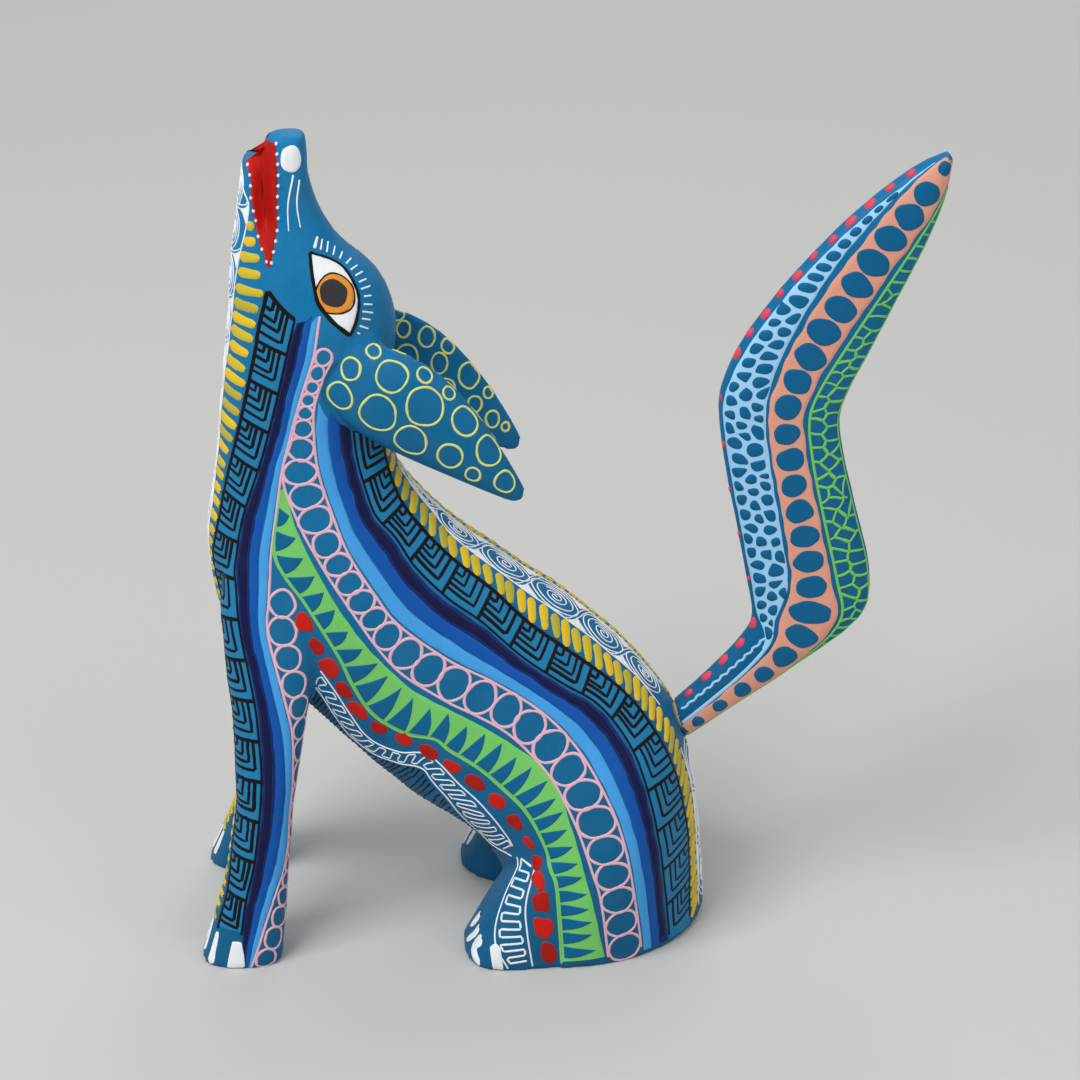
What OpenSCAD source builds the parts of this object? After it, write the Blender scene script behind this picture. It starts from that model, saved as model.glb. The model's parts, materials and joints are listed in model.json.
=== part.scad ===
// Sitting, howling coyote figure: a carved wooden body, two plug-in ears and a
// plug-in tail. X runs along the figure (the chest is at -X, the tail at +X),
// Y across it and Z up. The origin is on the floor, under the middle of the box.

/* [Figure] */
// Height from the floor to the end of the nose
figure_h = 148; // [111:1:222]
// Width across the outer edges of the hind feet
figure_w = 52; // [47:1:57]

/* [Tail peg] */
// Diameter of the peg whittled on the root of the tail
tail_peg_d = 4.4; // [3.6:0.1:5]
// Depth of the tail socket drilled into the rump
tail_socket_depth = 12; // [8:0.5:14]
// Gap all round the tail peg in its socket
tail_peg_gap = 0.05; // [0.02:0.01:0.1]

/* [Ear pegs] */
// Diameter of the peg on the inner face of each ear
ear_peg_d = 3; // [2.4:0.1:3.6]
// Depth of each ear socket drilled into the side of the head
ear_socket_depth = 5; // [3.5:0.5:6]

/* [Hidden] */

DRAWN_H = 148;                 // height at which the outlines below were drawn
DRAWN_W = 52;                  // width at which they were drawn
k = figure_h / DRAWN_H;        // scale of the outlines
kw = k * figure_w / DRAWN_W;   // scale of the outlines across the figure

SIDES = 40;                    // points round a section of the trunk
STEPS = 3;                     // rings between two neighbouring sections
EAR_SIDES = 20;                // points across a section of an ear

// A trunk section joins a front point to a back point and is widest part way:
// [front x, front z, back x, back z, half width, where widest, squareness]
TRUNK = [
    [-54.4, 144.6, -43.8, 146.0,  4.0, 0.50, 2.6],
    [-55.3, 138.5, -43.1, 139.0,  4.7, 0.50, 2.5],
    [-56.6, 130.0, -39.4, 130.5,  6.2, 0.55, 2.4],
    [-57.4, 122.5, -32.3, 123.5,  8.4, 0.60, 2.3],
    [-58.2, 114.0, -29.3, 115.0,  9.8, 0.60, 2.2],
    [-59.2, 105.0, -30.0, 106.0, 10.0, 0.55, 2.2],
    [-60.2,  95.0, -31.0,  96.5, 10.0, 0.50, 2.2],
    [-61.4,  85.0, -29.0,  87.5, 10.8, 0.50, 2.2],
    [-62.8,  74.0, -20.6,  77.4, 12.6, 0.50, 2.2],
    [-60.2,  59.0,  -9.3,  68.6, 14.2, 0.50, 2.2],
    [-49.5,  46.4,   0.4,  61.4, 15.4, 0.50, 2.2],
    [-38.8,  35.2,   8.4,  54.1, 17.0, 0.50, 2.2],
    [-28.2,  25.4,  15.0,  46.4, 19.2, 0.52, 2.2],
    [-18.0,  18.8,  20.5,  37.0, 22.0, 0.54, 2.2],
    [-12.0,  10.5,  23.7,  23.0, 24.4, 0.45, 2.1],
    [-10.0,   0.0,  25.4,   0.0, 25.6, 0.25, 2.0]
];

// The upper jaw stands a little higher than the lower one and ends flat.
NOSE_TIP = [
    [-50.4, 148.0, -43.8, 148.0, 3.4, 0.50, 2.8],
    [-50.8, 145.0, -43.7, 145.0, 3.6, 0.50, 2.8],
    [-51.0, 141.0, -43.6, 141.0, 3.6, 0.50, 2.8]
];

// The mouth is a groove along each side of the muzzle, with its lips and its bottom at
// [z, lower lip x, bottom x, upper lip x, how far out the lips are, how far out the bottom is]
MOUTH = [
    [149.5, -55.8, -51.4, -49.4, 3.6, 1.2],
    [143.0, -54.0, -51.3, -48.6, 4.5, 1.2],
    [134.0, -52.7, -51.1, -48.7, 5.6, 2.2],
    [124.6, -51.2, -50.9, -50.4, 7.4, 6.4]
];
MOUTH_REACH = 9;               // how far out each groove is cut

// A leg section is level: [front x, back x, inner y, outer y, z]
FRONT_LEG = [
    [-56.0, -42.0,  0.5,  7.0, 84],
    [-58.6, -41.0,  0.5, 10.0, 76],
    [-60.6, -41.5,  1.0, 13.1, 65],
    [-59.8, -44.0,  2.5, 15.2, 53],
    [-58.9, -46.6,  4.6, 17.2, 41],
    [-58.9, -48.6,  6.8, 19.0, 29],
    [-60.6, -49.8,  9.0, 21.0, 17],
    [-63.4, -50.6, 11.0, 22.8,  7],
    [-65.6, -51.2, 11.6, 23.7,  0]
];
FRONT_LEG_FREE = 50;           // height of the leg below the chest
RIGHT_LEG_SET_BACK = 1.4;      // how much slimmer the right shin is, in front

// A hind foot section stands across the figure: [x, inner y, outer y, top z]
HIND_FOOT = [
    [-18.8, 12.6, 18.4,  0.8],
    [-17.7, 10.2, 22.4,  2.6],
    [-15.2,  7.2, 25.4,  6.8],
    [-12.0,  5.4, 26.0, 12.0],
    [ -8.0,  4.4, 26.0, 18.2],
    [ -2.0,  3.0, 25.2, 26.0],
    [  6.0,  2.0, 23.2, 32.0]
];

// A tail section is a flat oval from an upper to a lower edge point:
// [upper x, upper z, lower x, lower z, half thickness, where thickest, squareness]
TAIL = [
    [64.6, 143.9, 65.6, 142.6, 1.2, 0.5, 2.0],
    [58.6, 140.8, 64.8, 137.0, 2.4, 0.5, 2.4],
    [49.4, 133.2, 61.8, 128.0, 2.8, 0.5, 2.6],
    [39.4, 122.4, 57.6, 118.5, 2.9, 0.5, 2.6],
    [31.6, 111.8, 53.2, 108.8, 3.0, 0.5, 2.6],
    [27.6, 103.4, 49.4, 100.8, 3.1, 0.5, 2.6],
    [26.6,  97.4, 47.8,  95.2, 3.2, 0.5, 2.6],
    [27.8,  87.5, 48.8,  88.0, 3.2, 0.5, 2.6],
    [30.0,  76.0, 51.2,  78.0, 3.2, 0.5, 2.6],
    [32.4,  63.6, 54.0,  66.0, 3.2, 0.5, 2.6],
    [33.3,  57.0, 52.8,  57.2, 3.2, 0.5, 2.6],
    [31.6,  53.0, 41.8,  47.8, 3.0, 0.5, 2.6],
    [26.2,  46.6, 31.6,  40.4, 2.7, 0.5, 2.6],
    [17.6,  38.0, 21.6,  33.2, 2.5, 0.5, 2.6]
];
TAIL_LEAN = 42;                // slope of the tail's peg
TAIL_SEAT = [20.5, 37.4];      // where the peg's axis enters the rump, x and z
TAIL_SEAT_LEAN = 16;           // slope of the flat seat's normal
TAIL_SEAT_D = 9.6;             // diameter of the flat seat

// An ear section is flat inside and domed outside:
// [upper x, upper z, lower x, lower z, thickness]
EAR = [
    [-40.8, 108.2, -41.6, 104.4, 1.2],
    [-37.6, 111.4, -38.6,  99.8, 3.0],
    [-32.2, 113.2, -33.8,  96.2, 4.2],
    [-26.8, 111.8, -28.2,  93.2, 4.4],
    [-21.2, 108.0, -22.6,  90.6, 4.0],
    [-16.2, 102.4, -17.2,  88.2, 3.4],
    [-12.0,  96.2, -12.6,  86.2, 2.7],
    [ -8.9,  90.6,  -9.3,  85.0, 1.9],
    [ -7.4,  87.6,  -7.6,  85.6, 0.9]
];
EAR_SEAT_Y = 8.4;              // how far out the inner face of an ear lies at its hinge line
EAR_SEAT_X = -36;              // x of that line
EAR_FLARE = 5;                 // angle at which the ear stands off the neck
EAR_PEG = [-35, 105.0];        // middle of the ear peg, x and z
EAR_LETTING_IN = 0.15;         // gap round the ear in its shallow recess

// ---- curves ----

// A point between b and c on a smooth curve that also heeds a and d.
function mix4(a, b, c, d, t) =
    0.5 * (2 * b + (c - a) * t + (2 * a - 5 * b + 4 * c - d) * t * t + (3 * b - a - 3 * c + d) * t * t * t);

// Rows on a smooth curve through the given rows.
function smooth_rows(rows, steps) = let (last = len(rows) - 1) [
    for (i = [0 : last - 1], j = [0 : steps - 1])
        mix4(rows[max(i - 1, 0)], rows[i], rows[i + 1], rows[min(i + 2, last)], j / steps),
    rows[last]
];

// Raises v to the power e and keeps its sign, which squares up a round section.
function power(v, e) = sign(v) * pow(abs(v), e);

// One closed section of the trunk or the tail.
function trunk_ring(r) = let (
    front = [r[0] * k, r[1] * k],
    back = [r[2] * k, r[3] * k],
    wide = front + (back - front) * r[5],
    e = 2 / r[6]
) [
    for (i = [0 : SIDES - 1]) let (
        a = 360 * i / SIDES,
        along = power(cos(a), e),
        end = along > 0 ? back : front,
        p = wide + (end - wide) * abs(along)
    ) [p[0], r[4] * kw * power(sin(a), e), p[1]]
];

// One closed, level section of a leg.
function leg_ring(r, set_back) = [
    for (i = [0 : SIDES - 1]) let (
        a = 360 * i / SIDES,
        front = r[0] + set_back * sin(min(180, 180 * r[4] / FRONT_LEG_FREE))
    ) [
        k * ((front + r[1]) / 2 + (r[1] - front) / 2 * power(cos(a), 0.75)),
        kw * ((r[2] + r[3]) / 2 + (r[3] - r[2]) / 2 * power(sin(a), 0.75)),
        k * r[4]
    ]
];

// One closed, upright section of a hind foot, flat on the floor.
function foot_ring(r) = [
    for (i = [0 : SIDES - 1]) let (a = 360 * i / SIDES) [
        k * r[0],
        kw * ((r[1] + r[2]) / 2 - (r[2] - r[1]) / 2 * power(cos(a), 0.8)),
        k * max(0, r[3] * power(sin(a), 0.9))
    ]
];

// A closed skin over rings that all have the same number of points.
module skin(rings) {
    n = len(rings[0]);
    last = len(rings) - 1;
    points = [for (ring = rings) each ring];
    walls = [
        for (j = [0 : last - 1], i = [0 : n - 1])
            let (a = j * n + i, b = j * n + (i + 1) % n)
                each [[a, b, b + n], [a, b + n, a + n]]
    ];
    caps = [[for (i = [n - 1 : -1 : 0]) i], [for (i = [0 : n - 1]) last * n + i]];
    polyhedron(points, concat(walls, caps), convexity = 4);
}

module trunk() {
    skin([for (r = smooth_rows(TRUNK, STEPS)) trunk_ring(r)]);
    skin([for (r = NOSE_TIP) trunk_ring(r)]);
}

// A point on the wall of the mouth, beyond the lip by as much as the cut reaches.
function past_lip(r, lip_x) =
    [k * (r[2] + (lip_x - r[2]) * (MOUTH_REACH - r[5]) / (r[4] - r[5])), kw * MOUTH_REACH, k * r[0]];

// The wedge that is cut out of one side of the muzzle to open the mouth.
module mouth_groove() {
    skin([for (r = MOUTH) [[k * r[2], kw * r[5], k * r[0]], past_lip(r, r[3]), past_lip(r, r[1])]]);
}

module front_leg(set_back) {
    skin([for (r = smooth_rows(FRONT_LEG, STEPS)) leg_ring(r, set_back)]);
}

module hind_foot() {
    skin([for (r = smooth_rows(HIND_FOOT, STEPS)) foot_ring(r)]);
}

// Puts a child's +Z on the axis of the tail's peg, pointing out of the rump.
module on_tail_peg() {
    translate([TAIL_SEAT[0] * k, 0, TAIL_SEAT[1] * k]) rotate([0, 90 - TAIL_LEAN, 0]) children();
}

// Puts a child's +Z on the normal of the flat seat on the rump.
module on_tail_seat() {
    translate([TAIL_SEAT[0] * k, 0, TAIL_SEAT[1] * k]) rotate([0, 90 - TAIL_SEAT_LEAN, 0]) children();
}

// Puts a child drawn flat, with +Y out of the head, on the ear's seat at the right side.
module on_ear_seat() {
    translate([EAR_SEAT_X * k, EAR_SEAT_Y * kw, 0]) rotate([0, 0, EAR_FLARE])
        translate([-EAR_SEAT_X * k, 0, 0]) children();
}

// One closed section of an ear, flat on its inner face.
function ear_ring(r) = [
    for (i = [0 : EAR_SIDES - 1]) let (
        a = 180 * i / (EAR_SIDES - 1),
        t = (1 - power(cos(a), 0.9)) / 2
    ) [k * (r[0] + (r[2] - r[0]) * t), k * r[4] * power(sin(a), 0.9), k * (r[1] + (r[3] - r[1]) * t)]
];

module ear_leaf() {
    skin([for (r = smooth_rows(EAR, 2)) ear_ring(r)]);
}

// A round peg that points into the head.
module ear_peg(d, depth) {
    translate([EAR_PEG[0] * k, 0, EAR_PEG[1] * k]) rotate([90, 0, 0]) cylinder(d = d, h = depth, $fn = 48);
}

// The outline of the ear, let into the side of the head.
module ear_recess() {
    rows = smooth_rows(EAR, 2);
    translate([0, 8, 0]) rotate([90, 0, 0]) linear_extrude(8) offset(delta = EAR_LETTING_IN)
        polygon(k * [for (r = rows) [r[0], r[1]], for (i = [len(rows) - 1 : -1 : 0]) [rows[i][2], rows[i][3]]]);
}

// The body as it leaves the knife, before its three sockets are drilled.
module carved_body() {
    difference() {
        union() {
            trunk();
            for (side = [0, 1]) mirror([0, side, 0]) {
                front_leg(side == 0 ? RIGHT_LEG_SET_BACK : 0);
                hind_foot();
            }
        }
        for (side = [0, 1]) mirror([0, side, 0]) {
            mouth_groove();
            on_ear_seat() ear_recess();
        }
    }
}

module body() {
    color("steelblue") difference() {
        resize([0, 0, 0]) carved_body();
        for (side = [0, 1]) mirror([0, side, 0])
            on_ear_seat() translate([0, 1, 0]) ear_peg(ear_peg_d, ear_socket_depth + 1);
        on_tail_seat() cylinder(d = TAIL_SEAT_D, h = 8, $fn = 64);
        on_tail_peg() translate([0, 0, -tail_socket_depth])
            cylinder(d = tail_peg_d + 2 * tail_peg_gap, h = tail_socket_depth + 8, $fn = 64);
    }
}

module ear_right() {
    color("teal") on_ear_seat() {
        ear_leaf();
        translate([0, 0.5, 0]) ear_peg(ear_peg_d - 0.04, ear_socket_depth + 0.2);
    }
}

module ear_left() {
    mirror([0, 1, 0]) ear_right();
}

module tail() {
    color("salmon") {
        difference() {
            skin([for (r = smooth_rows(TAIL, STEPS)) trunk_ring(r)]);
            on_tail_seat() translate([0, 0, tail_peg_gap - 20]) cylinder(d = 40, h = 20, $fn = 64);
        }
        on_tail_peg() translate([0, 0, -(tail_socket_depth - 0.5)])
            cylinder(d = tail_peg_d, h = tail_socket_depth + 2, $fn = 64);
    }
}

body();
ear_left();
ear_right();
tail();
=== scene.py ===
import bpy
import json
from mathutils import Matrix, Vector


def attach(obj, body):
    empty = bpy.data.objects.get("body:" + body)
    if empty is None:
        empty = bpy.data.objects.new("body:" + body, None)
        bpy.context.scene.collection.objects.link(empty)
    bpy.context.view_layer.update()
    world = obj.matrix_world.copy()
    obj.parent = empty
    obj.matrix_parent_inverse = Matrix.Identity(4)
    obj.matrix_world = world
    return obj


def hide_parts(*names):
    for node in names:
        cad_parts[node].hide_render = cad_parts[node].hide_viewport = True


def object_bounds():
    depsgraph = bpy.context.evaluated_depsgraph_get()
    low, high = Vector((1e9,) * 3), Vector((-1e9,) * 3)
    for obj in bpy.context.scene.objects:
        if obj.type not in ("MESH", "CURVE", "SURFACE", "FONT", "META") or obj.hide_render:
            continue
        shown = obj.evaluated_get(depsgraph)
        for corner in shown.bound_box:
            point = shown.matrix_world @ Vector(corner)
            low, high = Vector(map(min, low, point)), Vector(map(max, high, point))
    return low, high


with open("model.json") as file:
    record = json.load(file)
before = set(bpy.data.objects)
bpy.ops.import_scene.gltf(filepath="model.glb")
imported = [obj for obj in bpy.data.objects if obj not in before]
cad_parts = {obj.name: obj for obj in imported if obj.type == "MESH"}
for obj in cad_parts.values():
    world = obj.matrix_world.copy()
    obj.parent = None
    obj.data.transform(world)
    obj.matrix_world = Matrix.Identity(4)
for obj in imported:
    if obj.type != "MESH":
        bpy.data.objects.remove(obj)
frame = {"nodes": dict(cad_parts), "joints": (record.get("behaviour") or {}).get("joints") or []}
CAD_BOX = [list(corner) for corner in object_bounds()]

import json
import math
import random

import bmesh
import bpy
from mathutils import Vector, noise
from mathutils.bvhtree import BVHTree

DRAWN_HEIGHT = 148  # the guide lines are drawn in millimetres on a figure this tall
MM = (CAD_BOX[1][2] - CAD_BOX[0][2]) / DRAWN_HEIGHT
SAMPLES = 160  # points along each guide line
SIDES = (-1, 1)  # the figure's left side is -Y, its right side +Y
UP = Vector((0, 0, 1))
chance = random.Random(11)

# Thickness of the paint, in millimetres
SUNK = -0.03  # how far an edge dips into the wood
FILM = 0.06
LINE = 0.13
OVER = 0.17  # paint laid on a painted band
LINING = 0.22  # the mouth's red coat
DROP = 0.26  # the crown of a dot


# ---- materials

# Scales of the textures, per metre, and their stretch along the wood's grain
MOTTLE, FADE, GLOSS, BRISTLES, WOOD = 90, 160, 420, 1500, 520
BRISTLE_STRETCH = (1.0, 1.0, 0.22)
WOOD_STRETCH = (1.0, 1.0, 0.12)
SPECULAR = 0.18
RELIEF, RELIEF_DEPTH = 0.32, 0.00025  # the bump's strength, and its depth in metres
PAINTED_SHADE_LOW, PAINTED_SHADE_HIGH = 0.72, 1.24  # painted shade: brightness of the coat at the ground and at the top, darker below and lighter above as if lit from above


def painted(name, colour, mottle=0.0, grain=1.0, rough=0.5, with_painted_shade=False):
    """Matt acrylic brushed on wood: fine bristle ridges, uneven gloss, wood grain below, painted shade if
    asked.
    """
    material = bpy.data.materials.new(name)
    material.use_nodes = True
    nodes, links = material.node_tree.nodes, material.node_tree.links
    nodes.clear()

    def node(kind, **sockets):
        """A new node, with those values on its sockets or those outputs linked to them."""
        made = nodes.new("ShaderNode" + kind)
        for name, value in sockets.items():
            socket = made.inputs[name.replace("_", " ")]
            if isinstance(value, bpy.types.NodeSocket):
                links.new(value, socket)
            else:
                socket.default_value = value
        return made

    place = node("TexCoord").outputs["Object"]

    def cloud(scale, detail, stretch=None):
        """Noise in object space, stretched along the wood's grain where asked."""
        source = node("Mapping", Scale=stretch, Vector=place).outputs["Vector"] if stretch else place
        return node("TexNoise", Scale=scale, Detail=detail, Vector=source).outputs["Fac"]

    def spread(value, low, high):
        """Value from 0 to 1 taken to the range low to high."""
        return node("MapRange", Value=value, To_Min=low, To_Max=high).outputs["Result"]

    def combined(operation, first, second):
        """The sum or the product of two values."""
        both = node("Math")
        both.operation = operation
        links.new(first, both.inputs[0])
        links.new(second, both.inputs[1])
        return both.outputs["Value"]

    def painted_shade_by_height(value):
        """Painted shade: the value lowered near the ground and raised near the top, as if lit from above."""
        height = node("SeparateXYZ", Vector=place).outputs["Z"]
        share = node("MapRange", Value=height, From_Max=DRAWN_HEIGHT * MM,
                     To_Min=PAINTED_SHADE_LOW, To_Max=PAINTED_SHADE_HIGH).outputs["Result"]
        return combined("MULTIPLY", value, share)

    coat = (*colour, 1)
    gloss = spread(cloud(GLOSS, 3), rough - 0.12, rough + 0.14)
    ridges = combined("ADD", cloud(BRISTLES, 2, BRISTLE_STRETCH), cloud(WOOD, 3, WOOD_STRETCH))
    relief = node("Bump", Strength=RELIEF * grain, Distance=RELIEF_DEPTH, Height=ridges).outputs["Normal"]
    shader = node("BsdfPrincipled", Base_Color=coat, Specular_IOR_Level=SPECULAR,
                  Roughness=gloss, Normal=relief)
    if mottle:
        value = spread(cloud(MOTTLE, 4), 1 - mottle, 1 + mottle)
        # painted shade: the coat darker near the ground and lighter near the top
        if with_painted_shade:
            value = painted_shade_by_height(value)
        fade = spread(cloud(FADE, 2), 1 - mottle * 0.6, 1 + mottle * 0.4)
        shade = node("HueSaturation", Color=coat, Value=value, Saturation=fade)
        links.new(shade.outputs["Color"], shader.inputs["Base Color"])
    node("OutputMaterial", Surface=shader.outputs["BSDF"])
    return material


BASE = (0.003, 0.152, 0.340)
EAR_BASE = (0.001, 0.130, 0.298)
DEEP = (0.001, 0.122, 0.285)
COLOURS = {
    "base": [DEEP],
    "teal": [(0.010, 0.200, 0.420)],
    "navy": [(0.004, 0.006, 0.052)],
    "indigo": [(0.004, 0.022, 0.150)],
    "royal": [(0.003, 0.088, 0.400)],
    "sky": [(0.060, 0.350, 0.780)],
    "black": [(0.004, 0.003, 0.004)],
    "pink": [(0.80, 0.46, 0.55), (0.84, 0.50, 0.58)],
    "green": [(0.18, 0.59, 0.14)],
    # the second red varies the petals; on the mouth's upper wall it is painted shade
    "red": [(0.58, 0.011, 0.005), (0.42, 0.008, 0.004)],
    "yellow": [(0.78, 0.53, 0.022), (0.64, 0.49, 0.030), (0.50, 0.42, 0.040)],
    "white": [(0.86, 0.89, 0.92)],
    "lemon": [(0.70, 0.72, 0.19)],
    "peach": [(0.80, 0.36, 0.25)],
    "coral": [(0.82, 0.060, 0.110)],
    "pale": [(0.36, 0.66, 0.93)],
    "leaf": [(0.19, 0.58, 0.11)],
    "orange": [(0.78, 0.29, 0.030)],
    "pupil": [(0.040, 0.034, 0.035)],
}


def paints(colour):
    """The materials of a paint, one for each mix of it."""
    found = []
    for number, mix in enumerate(COLOURS[colour]):
        name = "paint_%s_%d" % (colour, number)
        found.append(bpy.data.materials.get(name) or painted(name, mix))
    return found


# ---- carved wood

BODY_VOXEL, TAIL_VOXEL, EAR_VOXEL = 0.5, 0.35, 0.42
FACET = 7.5  # width of a knife facet
FACET_MIDDLE = 0.45  # where a facet stays as it is, as a share of its width
BODY_FACETS, TAIL_FACETS = 0.35, 0.15  # depth of the facets
FLAT_BELOW = 0.4  # no facets this near the ground
SNOUT = (-46.6, 0, 148)
SNOUT_REACH = 7
SNOUT_RISE = 0.9
SNOUT_ROUNDS = 14
MOUTH_CORNER = (-50.8, 6.2, 129.5)
MOUTH_REACH = 5.5
MOUTH_ROUNDS = 26
EAR_BOX = ((-50, 0, 80), (-2, 30, 122))  # an ear and its root lie between these corners
JOIN_UNDER, JOIN_OVER = 1.3, 4.6  # how far an ear's joint is filled out below it, and above it
JOIN_FROM, JOIN_TO = 105, 110  # the heights between which one turns into the other
JOIN_START = (-40, -35)  # and the places along the head where the filling starts and ends
JOIN_END = (-25, -18)
JOIN_ROUNDS = 7  # how often a spot is moved nearer to the filled surface
JOIN_FADE, JOIN_RIM = 0.45, 0.9  # shares of its reach at which it starts to sink, and ends
TAIL_SEAT = Vector((20.5, 0, 37.4))  # where the tail's peg enters the rump
TAIL_SEAT_OUT = Vector((0.961, 0, 0.276))  # the way the flat seat around it faces
TAIL_PEG = Vector(frame["joints"][0]["axis"])
SOCKET_REACH = 2.6  # paint stops this far from the socket's axis
SOCKET_NEAR = 20  # and only within this distance of its mouth
SEAT_CLEAR = 0.1  # the tail is bare up to this far out of the seat
BARE_WOOD = (0.70, 0.50, 0.27)


def in_socket(point):
    """Whether a spot of the body lies in the mouth of the tail's socket or inside it."""
    gap = point - TAIL_SEAT
    return (gap - TAIL_PEG * gap.dot(TAIL_PEG)).length < SOCKET_REACH and gap.length < SOCKET_NEAR


def on_peg(point):
    """Whether a spot of the tail lies on its peg or on the face that meets the rump."""
    return (point - TAIL_SEAT).dot(TAIL_SEAT_OUT) < SEAT_CLEAR


def placed(name, data):
    """A new object in the scene."""
    obj = bpy.data.objects.new(name, data)
    bpy.context.scene.collection.objects.link(obj)
    return obj


def mesh_of(name, points, faces):
    """A mesh of the faces, in metres, without the points that they leave out."""
    used = sorted({corner for face in faces for corner in face})
    place = {corner: i for i, corner in enumerate(used)}
    mesh = bpy.data.meshes.new(name)
    mesh.from_pydata([points[corner] * MM for corner in used], [],
                     [tuple(place[corner] for corner in face) for face in faces])
    return mesh


def tree_of(obj):
    """The faces of a piece, in millimetres, in a tree that finds the one nearest to a point."""
    return BVHTree.FromPolygons([v.co / MM for v in obj.data.vertices],
                                [tuple(p.vertices) for p in obj.data.polygons])


def remeshed(name, nodes, voxel, rounds=3):
    """One skin over the CAD pieces, with its creases blended."""
    work = bmesh.new()
    for node in nodes:
        work.from_mesh(frame["nodes"][node].data)
    bmesh.ops.remove_doubles(work, verts=work.verts, dist=1e-6)
    mesh = bpy.data.meshes.new(name)
    work.to_mesh(mesh)
    work.free()
    obj = placed(name, mesh)
    remesh = obj.modifiers.new("remesh", "REMESH")
    remesh.mode = "VOXEL"
    remesh.voxel_size = voxel * MM
    smooth = obj.modifiers.new("smooth", "SMOOTH")
    smooth.factor = 0.5
    smooth.iterations = rounds
    bpy.context.view_layer.update()
    evaluated = obj.evaluated_get(bpy.context.evaluated_depsgraph_get())
    final = bpy.data.meshes.new_from_object(evaluated)
    obj.modifiers.clear()
    obj.data = final
    return obj


def faceted(mesh, depth):
    """Shallow knife facets all over, except where the figure stands."""
    normals = [v.normal.copy() for v in mesh.vertices]
    for vertex, normal in zip(mesh.vertices, normals):
        if vertex.co.z > FLAT_BELOW * MM:
            near = noise.voronoi(vertex.co / MM / FACET)[0][0]
            vertex.co += normal * (depth * MM * (near - FACET_MIDDLE))


def dressed(obj, node, body, colour):
    """The carved piece in its first coat of paint, with painted shade by height, standing for the CAD piece.
    """
    mesh = obj.data
    for polygon in mesh.polygons:
        polygon.use_smooth = True
    mesh.materials.clear()
    # the first coat carries painted shade: darker near the ground, lighter near the top
    mesh.materials.append(painted(obj.name + "_paint", colour, mottle=0.07, grain=1.3, with_painted_shade=True))
    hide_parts(node)
    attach(obj, body)
    return obj


def domed(mesh, centre, reach, rise, rounds):
    """Rounds off the mesh around a spot and lifts its middle."""
    work = bmesh.new()
    work.from_mesh(mesh)
    near = [v for v in work.verts if (v.co / MM - centre).length < reach]
    for _ in range(rounds):
        bmesh.ops.smooth_vert(work, verts=near, factor=0.5,
                              use_axis_x=True, use_axis_y=True, use_axis_z=True)
    for vertex in near:
        share = 1 - ((vertex.co / MM - centre).length / reach) ** 2
        vertex.co.z += rise * MM * share * share
    work.to_mesh(mesh)
    work.free()


def carved_body():
    """The body, with its snout rounded off and the corners of its mouth filled."""
    obj = remeshed("carved_body", ["body"], BODY_VOXEL, 6)
    domed(obj.data, Vector(SNOUT), SNOUT_REACH, SNOUT_RISE, SNOUT_ROUNDS)
    for side in SIDES:
        corner = Vector(MOUTH_CORNER) * Vector((1, side, 1))
        domed(obj.data, corner, MOUTH_REACH, 0, MOUTH_ROUNDS)
    faceted(obj.data, BODY_FACETS)
    return dressed(obj, "body", "figure", BASE)


def carved_tail():
    """The tail, with its edges eased and its peg left bare."""
    obj = remeshed("carved_tail", ["tail"], TAIL_VOXEL)
    faceted(obj.data, TAIL_FACETS)
    dressed(obj, "tail", "tail", EAR_BASE)
    obj.data.materials.append(painted("bare_wood", BARE_WOOD, mottle=0.12, grain=1.6, rough=0.7))
    for polygon in obj.data.polygons:
        polygon.material_index = int(on_peg(polygon.center / MM))
    return obj


def out_of(tree, point):
    """How far the point is out of a solid, and the way out of it."""
    spot, normal, _, _ = tree.find_nearest(point)
    gap = point - spot
    far = gap.length
    if far < 1e-4:
        return 0.0, normal
    if gap.dot(normal) < 0:
        return -far, gap / -far
    return far, gap / far


def step(value, low, high):
    """A smooth rise from 0 at low to 1 at high."""
    t = min(max((value - low) / (high - low), 0.0), 1.0)
    return t * t * (3 - 2 * t)


def carved_ear(name, node, side, whole, head):
    """An ear whose joint is filled out and smoothed into the head, as under thick paint."""
    core = remeshed(name + "_core", [node], EAR_VOXEL)
    ear = tree_of(core)
    bpy.data.objects.remove(core)
    points, moved, kept = [v.co / MM for v in whole.data.vertices], {}, []
    low, high = EAR_BOX
    for number, point in enumerate(points):
        if not all(a < c < b for a, c, b in zip(low, (point.x, point.y * side, point.z), high)):
            continue
        if out_of(ear, point)[0] > JOIN_OVER:
            continue
        for _ in range(JOIN_ROUNDS):
            ear_far, ear_way = out_of(ear, point)
            head_far, head_way = out_of(head, point)
            root = step(point.x, *JOIN_START) * (1 - step(point.x, *JOIN_END))
            reach = JOIN_UNDER + (JOIN_OVER - JOIN_UNDER) * step(point.z, JOIN_FROM, JOIN_TO) * root
            mix = max(reach - abs(ear_far - head_far), 0) / reach
            share = mix / 2 if head_far < ear_far else 1 - mix / 2
            way = (ear_way * share + head_way * (1 - share)).normalized()
            point = point - way * (min(ear_far, head_far) - mix * mix * reach / 4)
        if ear_far < reach * JOIN_RIM:
            rim = step(ear_far, reach * JOIN_FADE, reach * JOIN_RIM)
            moved[number] = point + head_way * (SUNK * 3 * rim)
    for polygon in whole.data.polygons:
        if all(corner in moved for corner in polygon.vertices):
            kept.append(polygon.vertices)
    obj = placed(name, mesh_of(name, moved, kept))
    return dressed(obj, node, "figure", EAR_BASE)


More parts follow.
